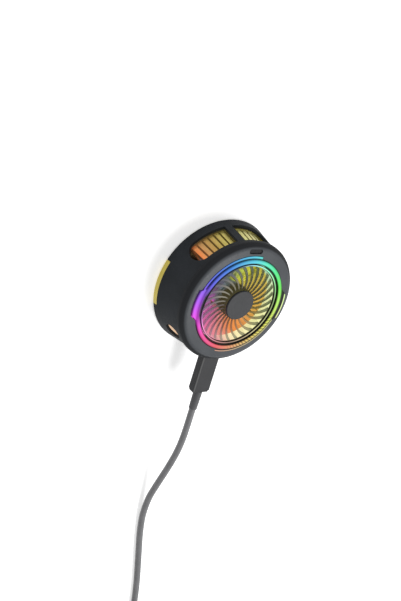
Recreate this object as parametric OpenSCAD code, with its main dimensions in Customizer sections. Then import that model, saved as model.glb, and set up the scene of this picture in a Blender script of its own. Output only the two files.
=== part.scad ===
// Phone cooling fan: a round cooler that holds on to a phone's back with magnets. A blade wheel in the front face
// blows through a finned heat sink and out of windows in the side wall. The fan's axis is Z, the contact face lies
// on Z = 0, and the lead leaves the case towards -Y. Angles are counted from +X, towards +Y.

/* [Fan] */
// Radius of the blade tips
blade_tip_r = 17.6; // [16.5:0.1:19]
// Radius of the hub
hub_r = 6.8; // [6.5:0.1:7.6]
// Height of the hub with its cap
hub_h = 7.3; // [6.9:0.1:7.8]
// Number of blades
blade_count = 29; // [21:2:33]
// Height of a blade along the fan's axis
blade_h = 5.1; // [3.5:0.1:5.4]
// Thickness of a blade at the hub
blade_t = 0.45; // [0.4:0.05:0.8]
// Thickness of a blade at its tip
blade_tip_t = 1.1; // [0.5:0.05:1.3]
// Radius of the arc that a blade follows from the hub to its tip
blade_arc_r = 11.5; // [11:0.5:16]
// Turn of a blade from its front to its rear edge, in degrees
blade_pitch = 6; // [3:0.5:9]
// Depth of the blades' front edges below the crown of the light ring
blade_recess = 1.3; // [1.1:0.1:2.2]
// Running gap between the blade tips and the duct
tip_gap = 0.35; // [0.3:0.05:0.6]
// Height of the hub cap above the crown of the light ring
cap_proud = 0.3; // [0.1:0.1:0.6]
// Thickness of the hub cap
cap_t = 0.8; // [0.6:0.1:1.2]
// Radius of the shaft
shaft_r = 0.75; // [0.6:0.05:0.9]
// Running gap round the shaft
shaft_gap = 0.03; // [0.01:0.01:0.08]

/* [Duct and light ring] */
// Thickness of the duct's wall round the blades
duct_t = 0.7; // [0.5:0.1:1]
// Open gap between the duct and the light ring
ring_gap = 0.55; // [0.4:0.05:0.9]
// Width of the light ring's crown
ring_w = 2.2; // [1.8:0.1:2.8]
// Height of the ring's crown above the front face
ring_proud = 0.7; // [0.4:0.1:1]
// Width of the low steps outside the crown
step_w = 1.2; // [0.8:0.1:1.5]
// Width of the bulges outside the crown
bulge_w = 2.3; // [1.8:0.1:2.6]
// Angle at which a step starts
step_from = 77; // [60:1:100]
// Angle at which the step ends and a bulge starts
bulge_from = 158; // [150:1:165]
// Angle at which the bulge ends
bulge_to = 197; // [190:1:205]
// Number of lights under the ring
led_count = 16; // [8:1:24]
// Thickness of the light board
board_t = 1; // [0.8:0.1:1.2]

/* [Front cover] */
// Width of the flat face outside the bulges
face_land = 2.2; // [1.8:0.1:3]
// Width of the bevel round the face
chamfer_w = 2; // [1.5:0.1:2.5]
// Height of the bevel round the face
chamfer_h = 1.7; // [1.2:0.1:2]
// Rise of the face from the bevel to the light ring
face_rise = 0.7; // [0.5:0.1:1]
// Height of the flange's upright edge
flange_h = 2.1; // [1.8:0.1:2.6]
// How far the flange stands out over the side wall
flange_overhang = 1; // [0.6:0.1:1.4]
// Thickness of the cover's face
cover_t = 1.2; // [1:0.1:1.4]

/* [Side wall] */
// How much wider the wall is at the rear than under the cover
wall_flare = 2.3; // [1.8:0.1:3]
// Thickness of the wall
wall_t = 1.2; // [1:0.1:1.5]
// Height of the rear rim above the contact face
rim_z = 0.5; // [0.3:0.1:0.6]
// Height of the outlet windows above the ledge inside the wall
window_sill = 0.8; // [0.5:0.1:1.5]
// Height of the outlet windows
window_h = 10.3; // [8:0.1:10.5]
// Angle of the left tip of the outlet windows
window_left = 143.6; // [135:0.1:150]
// Angle of the strut's left side
strut_left = 101.5; // [99:0.5:104]
// Angle of the strut's right side
strut_right = 94.5; // [92:0.5:97]
// Angle of the right tip of the outlet windows
window_right = 60; // [50:1:68]
// Radius of the round vents low on the sides
vent_r = 3.8; // [3:0.1:4.5]
// Angle of the left vent, mirrored on the right
vent_angle = 220.5; // [215:0.5:225]
// Angle at which the rear light starts to show
glow_from = 157.6; // [150:0.1:165]
// Angle at which the rear light stops showing
glow_to = 199; // [190:0.5:205]
// Height of the band that the rear light shows
glow_h = 2.3; // [1.8:0.1:2.5]

/* [Contact side] */
// Thickness of the soft contact skin
skin_t = 0.6; // [0.4:0.1:0.8]
// Height of the magnet tray
tray_h = 2.5; // [2.3:0.1:3]
// Thickness of the ledge inside the wall
ledge_t = 1; // [0.8:0.1:1.4]
// Width of the magnets across the ring
magnet_w = 3.8; // [3:0.1:4]
// Thickness of the magnets
magnet_t = 1.4; // [1.2:0.1:1.4]
// Number of magnets in the ring
magnet_count = 16; // [12:1:18]
// Radius of the cold plate's face
plate_r = 18; // [17.2:0.1:18.2]
// Thickness of the cold plate
plate_t = 1.7; // [1.5:0.1:1.9]
// Radius of the screws' shanks
screw_r = 0.8; // [0.6:0.05:0.9]

/* [Heat sink] */
// Thickness of the heat sink's base
sink_base_t = 1.2; // [1:0.1:1.6]
// Height of the tall fins
fin_h = 10.5; // [9.8:0.1:11.5]
// Number of tall fins
fin_count = 60; // [48:2:64]
// Gap between the fins at their outer ends
fin_gap = 0.9; // [0.5:0.05:1.1]
// Height of the low fins under the blades
low_fin_h = 6.7; // [5:0.1:7]
// Thickness of the low fins
low_fin_t = 0.9; // [0.6:0.1:1]
// Side of the square cooling element
tec_w = 24; // [20:0.5:24.5]
// Thickness of each ceramic plate of the cooling element
ceramic_t = 0.5; // [0.4:0.05:0.6]

/* [Power socket and button] */
// Height of the power socket's middle
port_z = 13.2; // [12.8:0.1:13.6]
// Angle of the mode button
button_angle = 88; // [80:1:100]
// Length of the button's slot
slot_l = 7; // [6:0.1:8]
// Width of the button's slot
slot_w = 2; // [1.6:0.1:2.2]
// Travel of the button
button_travel = 0.35; // [0.2:0.05:0.4]

/* [Lead] */
// Diameter of the cord
cord_d = 3; // [2.8:0.1:3.2]
// Width of the plug body
plug_w = 8.7; // [8.6:0.1:10]
// Thickness of the plug body
plug_h = 4.4; // [4.2:0.1:4.8]
// Length of the plug body
plug_l = 19.3; // [17:0.1:22]
// Length of the strain relief
relief_l = 9; // [7:0.5:12]
// Radius of the wound cord's outermost turn
coil_r = 25.9; // [25.5:0.1:27]

/* [Hidden] */
$fn = 96;

// Fits and clearances
glue_gap = 0.02;
slip_gap = 0.1;
part_gap = 0.2;
free_gap = 0.4;
cut = 1;
far_out = 12;

// Radii, from the blade tips outwards
duct_r = blade_tip_r + tip_gap;
duct_out_r = duct_r + duct_t;
ring_r = duct_out_r + ring_gap;
ring_out_r = ring_r + ring_w;
step_r = ring_out_r + step_w;
bulge_r = ring_out_r + bulge_w;
face_r = bulge_r + face_land;
flange_r = face_r + chamfer_w;
wall_top_r = flange_r - flange_overhang;

// Radii of the contact side, from the cold plate outwards; its lip reaches past the corners of the cooling element
plate_lip = 0.9;
foam_gap = 0.4;
foam_land = 0.6;
plate_lip_r = max(plate_r + plate_lip, (tec_w / 2 + foam_gap) * sqrt(2) + foam_land);
plate_bore_r = plate_lip_r + part_gap;
screw_head_r = screw_r * 1.6;
screw_land = 0.57;
screw_ring_r = plate_bore_r + screw_land + screw_head_r;
glow_t = 0.6;
tray_wall = 0.4;
tray_least_r = screw_ring_r + screw_head_r + 2 * part_gap + magnet_w + slip_gap + tray_wall;

// The wall's rear end is as wide as its flare makes it, and wide enough for the screws and the magnets
base_r = max(wall_top_r + wall_flare, tray_least_r + slip_gap + glow_t + slip_gap + wall_t);

// Heights, from the contact face upwards
tray_top = skin_t + tray_h;
sink_z = tray_top + ledge_t;
fin_z = sink_z + sink_base_t;
fin_top = fin_z + fin_h;
duct_flange_t = 0.6;
board_z = fin_top + duct_flange_t;
board_top = board_z + board_t;
wall_over_fins = 1;
wall_top_z = fin_top + wall_over_fins;
flange_top = wall_top_z + flange_h;
face_z = flange_top + chamfer_h;
cover_top = face_z + face_rise;
ring_top = cover_top + ring_proud;
blade_top = ring_top - blade_recess;
cap_top = ring_top + cap_proud;
cap_z = cap_top - cap_t;
hub_z = cap_top - hub_h;

// Outer and inner radius of the side wall at a height, and the outer radius of the fins there
function wall_r(z) = base_r - (base_r - wall_top_r) * (z - rim_z) / (wall_top_z - rim_z);
function wall_in_r(z) = wall_r(z) - wall_t;
function fin_r(z) = wall_in_r(z) - free_gap;

// Height of the underside of the cover's face at a radius
cover_in_r = ring_out_r + part_gap;
cover_bend_r = face_r - 0.6;
function cover_under(r) = cover_top - cover_t - face_rise * (r - cover_in_r) / (cover_bend_r - cover_in_r);

// Contact side
rear_in_r = base_r - wall_t;
glow_r = rear_in_r - slip_gap;
tray_r = glow_r - glow_t - slip_gap;
magnet_out_r = tray_r - tray_wall - slip_gap;
magnet_in_r = magnet_out_r - magnet_w;
yoke_t = 0.4;
channel_h = magnet_t + yoke_t + slip_gap;
plate_lip_z = skin_t + 0.6;
ledge_r = tray_r - 3.6;
screw_head_t = 0.8;
screw_angles = [30, 150, 210, 330];
screw_end = fin_z - 0.3;

// Cooling element, between the cold plate and the heat sink
pad_t = 0.2;
pellet_h = sink_z - plate_t - pad_t - 2 * ceramic_t;
pellet_rows = 6;
sensor_w = 2;
sensor_l = 1.2;
sensor_h = 0.8;
sensor_y = -(tec_w / 2 + foam_gap + plate_r) / 2;

// Heat sink
fin_in_r = duct_out_r + 0.25;
fin_in_gap = 0.55;
boss_r = hub_r - 0.4;
port_clear = 19.5;
stub_l = 0.8;

// Motor, from the hub inwards and from the shaft outwards
sleeve_t = 0.75;
cup_out_r = hub_r - sleeve_t - glue_gap;
cup_t = 0.5;
rotor_yoke_t = 0.5;
rotor_magnet_t = 0.8;
air_gap = 0.3;
yoke_out_r = cup_out_r - cup_t - glue_gap;
rotor_magnet_out_r = yoke_out_r - rotor_yoke_t - glue_gap;
stator_r = rotor_magnet_out_r - rotor_magnet_t - air_gap;
bearing_r = shaft_r + shaft_gap + 0.9;
tube_in_r = bearing_r + glue_gap;
tube_r = tube_in_r + 0.6;
rotor_gap = 0.8;
motor_board_t = 0.8;
motor_base_t = 1;
motor_board_z = hub_z - rotor_gap - motor_board_t;
motor_base_z = motor_board_z - motor_base_t;
cup_top_t = 0.9;
boss_h = 1.2;
boss_z = cap_z - cup_top_t - boss_h;
washer_t = 0.35;
bearing_z = motor_board_z + washer_t + slip_gap;
bearing_top = boss_z - 0.3;
stator_z = hub_z + 0.6;
stator_h = 3;

// Power socket, control board and the plug in it
socket_w = 8.94;
socket_h = 3.16;
socket_t = 0.28;
socket_l = 6.8;
socket_y = wall_r(port_z) - 0.5;
shell_w = 8.25;
shell_h = 2.4;
shell_t = 0.3;
shell_l = 6.4;
tongue_w = 6.69;
tongue_h = 0.7;
tongue_l = 4.4;
socket_back = 0.5;
control_board_t = 0.8;
control_board_z = port_z - socket_h / 2 - control_board_t;
control_board_w = 12.6;
control_board_l = 4.7;
control_board_y = socket_y - socket_l;
rib_w = 2;
rib_x = control_board_w / 2 - rib_w / 2;
plug_gap = 0.35;
plug_round = 0.8;
relief_big_r = 1.95;
relief_end_r = 1.8;
cord_exit_y = -(wall_r(port_z) + plug_gap + plug_l + relief_l);

// Mode button
button_r = face_r - slot_w / 2 - 0.45;
button_gap = 0.2;
button_flange = 0.4;
button_sink = 0.4;
button_top = face_z + face_rise * (face_r - button_r) / (face_r - ring_out_r) - button_sink;
button_flange_z = cover_under(cover_bend_r) - slip_gap - button_flange;
switch_h = 0.6;
switch_w = 1.2;
switch_l = 3;
stem_w = 0.8;
stem_l = 2.4;
stem_gap = 0.05;
leg_out_r = ring_out_r + 1.4;
leg_t = 0.6;
switch_r = leg_out_r + slip_gap + switch_w / 2 + 0.05;

// The cord's way from the strain relief to its wound part, from the exit onwards: round figures, chosen by eye
cord_floor = cord_d / 2;
coil_z = cord_d / 2 + 0.8;
cord_route = [[0, 0, port_z], [0, -4, port_z], [0, -10, port_z], [0, -16, 13], [0, -23, 12.1], [0, -31, 10.2],
    [0, -39, 7.8], [0, -47, 5.3], [0, -55, 3.2], [0.8, -65, 1.9], [2.6, -75, cord_floor], [5, -85, cord_floor],
    [7.5, -95, cord_floor], [9.9, -105, cord_floor], [11.9, -115, cord_floor], [13.3, -125, 1.7], [13.9, -134, 2.1],
    [14, -140, coil_z], [14, -144, coil_z]];
cord_sides = 8;

// The wound part: in on one layer, up a layer in half a turn, out on the next layer, and down to the far plug
coil_sides = 6;
coil_steps = 24;
turns_in = 4.5;
turns_out = 4;
turn_pitch = cord_d + 0.6;
layer_pitch = cord_d + 0.6;
coil_start = cord_route[len(cord_route) - 1] + [0, cord_exit_y, 0];
coil_mid = coil_start + [-coil_r, -cord_d, 0];
coil_in_r = coil_r - turn_pitch * turns_in;
coil_end_r = coil_in_r + turn_pitch * turns_out;
climb_dip = 0.8;
tail_l = 32;
tail_aside = 7;
tail_steps = 8;
far_z = plug_h / 2;
tie_angle = 225;
tie_w = 7;
tie_t = 0.6;

function smooth(t) = let (u = min(1, max(0, t))) u * u * (3 - 2 * u);
function on_coil(angle, r, z) = coil_mid + [r * cos(angle), r * sin(angle), z - coil_z];
in_steps = turns_in * coil_steps;
half_steps = coil_steps / 2;
out_steps = turns_out * coil_steps;
step_a = 360 / coil_steps;
coil_path = concat(
    [coil_start],
    [for (i = [0 : in_steps]) on_coil(-i * step_a, coil_r - turn_pitch * i / coil_steps, coil_z)],
    [for (i = [1 : half_steps])
        on_coil(-(in_steps + i) * step_a, coil_in_r - climb_dip * sin(i * step_a),
            coil_z + layer_pitch * smooth(i / half_steps))],
    [for (i = [1 : out_steps])
        on_coil(-(in_steps + half_steps + i) * step_a, coil_in_r + turn_pitch * i / coil_steps,
            coil_z + layer_pitch)],
    [for (i = [1 : tail_steps]) let (t = i / tail_steps, top = coil_z + layer_pitch)
        coil_mid + [coil_end_r + tail_aside * smooth(t / 0.7), -tail_l * t,
            top - coil_z + (far_z - top) * smooth((t - 0.3) / 0.7)]],
    [coil_mid + [coil_end_r + tail_aside, -tail_l - cord_d, far_z - coil_z]]);
far_end = coil_path[len(coil_path) - 1];

// The least gap between the wound cord and itself, measured on its own points
coil_gap = min([for (i = [0 : len(coil_path) - 1 - half_steps])
    min([for (j = [i + half_steps : len(coil_path) - 1]) norm(coil_path[i] - coil_path[j])])]) - cord_d;
echo(str("least gap of the wound cord to itself: ", coil_gap, " mm"));

// Length of a path
function run(path) = [for (i = [1 : len(path) - 1]) norm(path[i] - path[i - 1])] * [for (i = [2 : len(path)]) 1];
echo(str("length of the cord: ", run(cord_route) + run(coil_path), " mm"));

// Shared shapes

// A tube along a path of points
function along(path, i) = let (d = path[min(i + 1, len(path) - 1)] - path[max(i - 1, 0)]) d / norm(d);
function aside(t) = let (s = cross(t, [0, 0, 1])) s / norm(s);
module tube(path, r, sides) {
    n = len(path);
    rings = [for (i = [0 : n - 1]) let (t = along(path, i), s = aside(t), u = cross(s, t))
        for (k = [0 : sides - 1]) path[i] + r * (cos(360 * k / sides) * s + sin(360 * k / sides) * u)];
    sides_of = [for (i = [0 : n - 2], k = [0 : sides - 1]) let (a = i * sides + k, b = i * sides + (k + 1) % sides)
        each [[a, a + sides, b], [b, a + sides, b + sides]]];
    ends = [for (k = [1 : sides - 2]) each [[0, k, k + 1],
        [(n - 1) * sides, (n - 1) * sides + k + 1, (n - 1) * sides + k]]];
    polyhedron(rings, concat(sides_of, ends), convexity = 10);
}

module pipe(r_in, r_out, z, h) {
    translate([0, 0, z]) difference() {
        cylinder(r = r_out, h = h);
        translate([0, 0, -cut]) cylinder(r = r_in, h = h + 2 * cut);
    }
}

module disc(r, z, h) {
    translate([0, 0, z]) cylinder(r = r, h = h);
}

// A ring-shaped block between two radii, two angles and two heights
module sector(r_in, r_out, from, to, z, h) {
    rotate([0, 0, from]) rotate_extrude(angle = to - from) translate([r_in, z]) square([r_out - r_in, h]);
}

module square_plate(w, z, h) {
    translate([-w / 2, -w / 2, z]) cube([w, w, h]);
}

module stadium(w, h) {
    square([w - h, h], center = true);
    for (x = [-1, 1]) translate([x * (w - h) / 2, 0]) circle(d = h);
}

module round_box(w, h, r) {
    square([w - 2 * r, h], center = true);
    square([w, h - 2 * r], center = true);
    for (x = [-1, 1], y = [-1, 1]) translate([x * (w / 2 - r), y * (h / 2 - r)]) circle(r = r);
}

// A flat shape drawn across the lead, drawn out along +Y from a place
module along_y(y, length) {
    translate([0, y + length, 0]) rotate([90, 0, 0]) linear_extrude(length) children();
}

function polar(r, a) = [r * cos(a), r * sin(a)];

// Points of a soft edge at a corner, between two places on the straight lines that meet there
function soft_edge(from, corner, to) = [for (t = [0 : 0.25 : 1])
    pow(1 - t, 2) * from + 2 * t * (1 - t) * corner + t * t * to];

// Plan of the light ring's steps and bulges, which lie twice round the ring; grow widens them for the cover's opening
bulge_rise = 3.5;
bulge_fall = 7;
slit = 1.2;
module lobes(grow, slit_a) {
    grow_a = grow * 180 / (PI * ring_out_r);
    for (turn = [0, 180]) rotate([0, 0, turn]) {
        intersection() {
            circle(r = step_r + grow);
            polygon([polar(ring_r, step_from - grow_a), polar(2 * step_r, step_from - grow_a),
                polar(2 * step_r, (step_from + bulge_from) / 2), polar(2 * step_r, bulge_from + bulge_rise),
                polar(ring_r, bulge_from + bulge_rise)]);
        }
        intersection() {
            circle(r = bulge_r + grow);
            polygon([polar(ring_r, bulge_from + bulge_rise), polar(ring_out_r, bulge_from - grow_a),
                polar(ring_out_r + 2 * bulge_w, bulge_from + 2 * bulge_rise - grow_a),
                polar(ring_out_r + 2 * bulge_w, bulge_to - 2 * bulge_fall + grow_a + slit_a),
                polar(ring_out_r, bulge_to + grow_a + slit_a), polar(ring_r, bulge_to - bulge_fall)]);
        }
    }
}

// Case

module front_cover() color("#606265") difference() {
    face_corner = [face_r, face_z];
    flange_corner = [flange_r, flange_top];
    face_slope = [face_r - cover_in_r, -face_rise] / norm([face_r - cover_in_r, face_rise]);
    bevel_slope = [chamfer_w, -chamfer_h] / norm([chamfer_w, chamfer_h]);
    soft = 0.9;
    rotate_extrude() polygon(concat([[cover_in_r, cover_under(cover_in_r)], [cover_bend_r, cover_under(cover_bend_r)],
        [wall_top_r - 0.7, flange_top - 0.4], [wall_top_r - 0.7, wall_top_z + 0.8],
        [wall_in_r(wall_top_z) - 1.3, wall_top_z + 0.8], [wall_in_r(wall_top_z) - 1.3, wall_top_z - 0.8],
        [wall_in_r(wall_top_z) - slip_gap, wall_top_z - 0.8], [wall_in_r(wall_top_z) - slip_gap, wall_top_z],
        [flange_r - 0.3, wall_top_z], [flange_r, wall_top_z + 0.3]],
        soft_edge(flange_corner - [0, soft], flange_corner, flange_corner - soft * bevel_slope),
        soft_edge(face_corner + soft * bevel_slope, face_corner, face_corner - soft * face_slope),
        [[cover_in_r, cover_top]]));
    translate([0, 0, board_top]) linear_extrude(far_out) lobes(part_gap, slit);
    rotate([0, 0, button_angle]) translate([button_r, 0, board_top]) linear_extrude(far_out)
        rotate([0, 0, 90]) stadium(slot_l, slot_w);
}

module window(tip, side, r_end) {
    z_mid = sink_z + window_sill + window_h / 2;
    inner = wall_in_r(wall_top_z) - cut;
    turn = tip > side ? -1 : 1;
    end = tip + turn * asin(r_end / wall_r(z_mid));
    sector(inner, inner + far_out, min(side, end), max(side, end), z_mid - r_end, 2 * r_end);
    radial_hole(end, z_mid, r_end);
}

module radial_hole(angle, z, r) {
    rotate([0, 0, angle]) translate([wall_in_r(wall_top_z) - cut, 0, z]) rotate([0, 90, 0])
        cylinder(r = r, h = far_out);
}

module body_shell() color("#3c3f44") difference() {
    union() {
        rotate_extrude() polygon([[base_r - 0.3, rim_z], [wall_r(rim_z + 0.4), rim_z + 0.4], [wall_top_r, wall_top_z],
            [wall_in_r(wall_top_z), wall_top_z], [wall_in_r(sink_z), sink_z], [ledge_r, sink_z], [ledge_r, tray_top],
            [rear_in_r, tray_top], [rear_in_r, rim_z]]);
        // Ribs that carry the control board
        for (x = [-1, 1]) translate([x * rib_x - rib_w / 2, -wall_in_r(control_board_z) + 0.4, control_board_z - 1])
            cube([rib_w, wall_in_r(control_board_z) - control_board_y - control_board_l + 1, 1]);
    }
    window(window_left, strut_left, window_h / 2);
    window(window_right, strut_right, window_h / 2);
    z_vent = sink_z + window_sill + window_h / 2 + 0.35;
    for (a = [vent_angle, 540 - vent_angle]) radial_hole(a, z_vent, vent_r);
    // Gaps in the rear rim where the rear light shows
    for (turn = [0, 180]) sector(rear_in_r - slip_gap, base_r + cut, glow_from + turn, glow_to + turn, rim_z - cut,
        glow_h + slip_gap + cut);
    translate([0, 0, port_z]) along_y(-base_r - cut, base_r - control_board_y) stadium(socket_w + 2 * slip_gap,
        socket_h + 2 * slip_gap);
}

module rear_cover() color("#2b2d30") difference() {
    union() {
        rotate_extrude() polygon([[plate_r + part_gap, skin_t], [tray_r, skin_t], [tray_r, tray_top],
            [plate_bore_r, tray_top], [plate_bore_r, plate_lip_z], [plate_r + part_gap, plate_lip_z]]);
        at_screws() disc(screw_head_r + 0.4, tray_top - 0.3, ledge_t + 0.3);
    }
    pipe(magnet_in_r - slip_gap, magnet_out_r + slip_gap, skin_t - cut, channel_h + cut);
    at_screws() {
        disc(screw_r + slip_gap, 0, sink_z + cut);
        disc(screw_head_r + slip_gap, 0, skin_t + screw_head_t + slip_gap);
    }
}

module contact_skin() color("#1f2022") pipe(plate_r + part_gap, tray_r, 0, skin_t);

module rear_light_ring() color("#d9b64a") {
    pipe(glow_r - glow_t, glow_r, skin_t, tray_h);
    z_low = rim_z + slip_gap;
    z_high = rim_z + glow_h;
    margin = 0.3;
    for (turn = [0, 180]) rotate([0, 0, glow_from + margin + turn])
        rotate_extrude(angle = glow_to - glow_from - 2 * margin) polygon([[glow_r - glow_t / 2, skin_t],
            [wall_r(z_low) - slip_gap, z_low + slip_gap], [wall_r(z_high) - slip_gap, z_high],
            [glow_r - glow_t / 2, z_high]]);
}

module magnets() color("#b9bcc0") {
    share = 360 / magnet_count;
    between = 2.5;
    for (i = [0 : magnet_count - 1]) sector(magnet_in_r, magnet_out_r, i * share + between / 2,
        (i + 1) * share - between / 2, skin_t + glue_gap, magnet_t);
}

module magnet_yoke() color("#8b9096")
    pipe(magnet_in_r, magnet_out_r, skin_t + magnet_t + 2 * glue_gap, yoke_t);

module at_screws() {
    for (a = screw_angles) rotate([0, 0, a]) translate([screw_ring_r, 0, 0]) children();
}

module case_screws() color("#9ea2a6") at_screws() {
    difference() {
        disc(screw_head_r, skin_t + slip_gap, screw_head_t);
        translate([-screw_head_r, -0.15, skin_t + slip_gap - cut]) cube([2 * screw_head_r, 0.3, cut + 0.3]);
    }
    disc(screw_r, skin_t + slip_gap + screw_head_t / 2, screw_end - skin_t - slip_gap - screw_head_t / 2);
}

// Light and duct

module light_ring() color("#8fd6d0") {
    foot_z = board_top + 1.1;
    shelf_z = cover_under(leg_out_r) - slip_gap;
    shelf_t = 0.6;
    edge = 0.6;
    low_edge = 0.35;
    difference() {
        union() {
            rotate_extrude() polygon([[ring_r, foot_z], [ring_r, ring_top - edge], [ring_r + 0.2, ring_top - 0.2],
                [ring_r + edge, ring_top], [ring_out_r - edge, ring_top], [ring_out_r - 0.2, ring_top - 0.2],
                [ring_out_r, ring_top - edge], [ring_out_r, shelf_z], [leg_out_r, shelf_z], [leg_out_r, board_top],
                [leg_out_r - leg_t, board_top], [leg_out_r - leg_t, shelf_z - shelf_t],
                [ring_out_r, shelf_z - shelf_t], [ring_out_r, foot_z]]);
            translate([0, 0, shelf_z - shelf_t]) linear_extrude(ring_top - low_edge - shelf_z + shelf_t)
                intersection() {
                    lobes(0, 0);
                    circle(r = bulge_r);
                }
        }
        disc(ring_r, foot_z - cut, far_out);
        // The steps lie lower than the bulges
        for (turn = [0, 180]) sector(ring_out_r, bulge_r + cut, step_from + turn - 2, bulge_from + turn,
            ring_top - 2 * low_edge, far_out);
    }
}

module light_board() color("#1f4d36") pipe(fin_in_r, leg_out_r + switch_w + 0.2, board_z, board_t);

module leds() color("#f2efe6") {
    side = 1.6;
    for (i = [0 : led_count - 1]) rotate([0, 0, i * 360 / led_count])
        translate([(ring_r + ring_out_r) / 2 - side / 2, -side / 2, board_top]) cube([side, side, 0.8]);
}

module fan_duct() color("#d8d2b4") {
    lip_drop = 0.6;
    rotate_extrude() polygon([[duct_r, fin_top], [leg_out_r + switch_w + 0.2, fin_top],
        [leg_out_r + switch_w + 0.2, board_z], [duct_out_r, board_z], [duct_out_r, ring_top - lip_drop],
        [duct_r + 0.2, ring_top - lip_drop], [duct_r, ring_top - lip_drop - 0.3]]);
}

// Fan

// Angle along a blade's arc at which it reaches the tip radius
arc_a = 2 * hub_r * blade_arc_r;
arc_b = 2 * blade_arc_r * blade_arc_r;
blade_end = atan2(arc_b, arc_a) + asin((pow(blade_tip_r, 2) - pow(hub_r, 2) - arc_b) / norm([arc_a, arc_b]));
blade_root = -asin(0.35 / blade_arc_r);
blade_parts = 6;
blade_phase = 6.4;
function blade_half(t) = (blade_t + (blade_tip_t - blade_t) * (t - blade_root) / (blade_end - blade_root)) / 2;
function blade_point(t, side) = [hub_r, blade_arc_r] + (blade_arc_r + side * blade_half(t)) * [sin(t), -cos(t)];

module blade_plan() {
    reach = blade_end + 3;
    ts = [for (i = [0 : blade_parts]) blade_root + (reach - blade_root) * i / blade_parts];
    polygon(concat([for (t = ts) blade_point(t, 1)], [for (i = [blade_parts : -1 : 0]) blade_point(ts[i], -1)]));
}

module blade_wheel() color("#8d8f94") {
    pipe(hub_r - sleeve_t, hub_r, hub_z, cap_z - hub_z);
    rotate([0, 0, blade_phase + blade_pitch]) translate([0, 0, blade_top - blade_h])
        linear_extrude(height = blade_h, twist = blade_pitch, slices = 3, segments = 1) intersection() {
            circle(r = blade_tip_r, $fn = 2 * blade_count);
            for (i = [0 : blade_count - 1]) rotate([0, 0, i * 360 / blade_count]) blade_plan();
        }
}

module rotor_hub() color("#34363a") difference() {
    union() {
        pipe(cup_out_r - cup_t, cup_out_r, hub_z, cap_z - hub_z);
        disc(cup_out_r - cup_t / 2, cap_z - cup_top_t, cup_top_t);
        disc(2 * shaft_r, boss_z, boss_h + cup_top_t / 2);
    }
    disc(shaft_r + shaft_gap / 3, boss_z - cut, far_out);
}

module hub_cap() color("#4c4e52") {
    bevel = 0.3;
    rotate_extrude() polygon([[0, cap_z], [hub_r, cap_z], [hub_r, cap_top - bevel], [hub_r - bevel, cap_top],
        [0, cap_top]]);
}

module rotor_yoke() color("#7d8288")
    pipe(yoke_out_r - rotor_yoke_t, yoke_out_r, hub_z + 0.3, cap_z - cup_top_t - hub_z - 0.3 - glue_gap);

module rotor_magnet() color("#3a3c40")
    pipe(rotor_magnet_out_r - rotor_magnet_t, rotor_magnet_out_r, hub_z + 0.4, stator_h + 1);

module rotor_shaft() color("#c4c8cc") {
    shaft_z = motor_board_z + washer_t;
    disc(shaft_r, shaft_z, cap_z - shaft_z - part_gap);
}

module bearing_sleeve() color("#b08d4f") pipe(shaft_r + shaft_gap, bearing_r, bearing_z, bearing_top - bearing_z);

module thrust_washer() color("#e6e2d6") disc(bearing_r - slip_gap, motor_board_z, washer_t - glue_gap);

module motor_base() color("#26282b") {
    disc(boss_r, motor_base_z, motor_base_t);
    pipe(tube_in_r, tube_r, motor_board_z - 0.2, bearing_top - motor_board_z);
}

module stator_core() color("#6b6f75") {
    poles = 4;
    ring_t = 0.4;
    shoe_t = 0.35;
    arm_w = 1.1;
    shoe_half = 36;
    pipe(tube_r + glue_gap, tube_r + ring_t, stator_z, stator_h);
    for (i = [0 : poles - 1]) rotate([0, 0, i * 360 / poles]) {
        translate([tube_r + ring_t / 2, -arm_w / 2, stator_z]) cube([stator_r - tube_r - ring_t, arm_w, stator_h]);
        sector(stator_r - shoe_t, stator_r, -shoe_half, shoe_half, stator_z, stator_h);
    }
}

module stator_coils() color("#b5623a") {
    poles = 4;
    r_in = tube_r + 0.5;
    arm_w = 1.2;
    wire = 0.35;
    r_out = sqrt(pow(stator_r - 0.4, 2) - pow(arm_w / 2 + wire, 2));
    for (i = [0 : poles - 1]) rotate([0, 0, i * 360 / poles]) difference() {
        translate([r_in, -arm_w / 2 - wire, stator_z - wire - slip_gap])
            cube([r_out - r_in, arm_w + 2 * wire, stator_h + 2 * wire + 2 * slip_gap]);
        translate([r_in - cut, -arm_w / 2, stator_z - slip_gap / 2])
            cube([r_out - r_in + 2 * cut, arm_w, stator_h + slip_gap]);
    }
}

module motor_board() color("#1f4d36") pipe(tube_r + slip_gap, boss_r - 0.9, motor_board_z, motor_board_t);

// Cooling stack

module tall_fins() {
    share = 360 / fin_count;
    root = 0.4;
    // The fins by the socket and by the windows' ends are cut back to stubs
    for (i = [0 : fin_count - 1]) let (a = (i + 0.5) * share) {
        stub = abs(a - 270) < port_clear || abs(a - window_left) < share || abs(a - window_right) < share;
        r_out = stub ? fin_in_r + stub_l : fin_r(fin_z) + free_gap;
        half_in = fin_in_r * sin(share / 2) - fin_in_gap / 2;
        half_out = stub ? half_in : r_out * sin(share / 2) - fin_gap / 2;
        rotate([0, 0, a]) translate([0, 0, fin_z - root]) linear_extrude(fin_h + root)
            polygon([[fin_in_r, -half_in], [r_out, -half_out], [r_out, half_out], [fin_in_r, half_in]]);
    }
}

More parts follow.
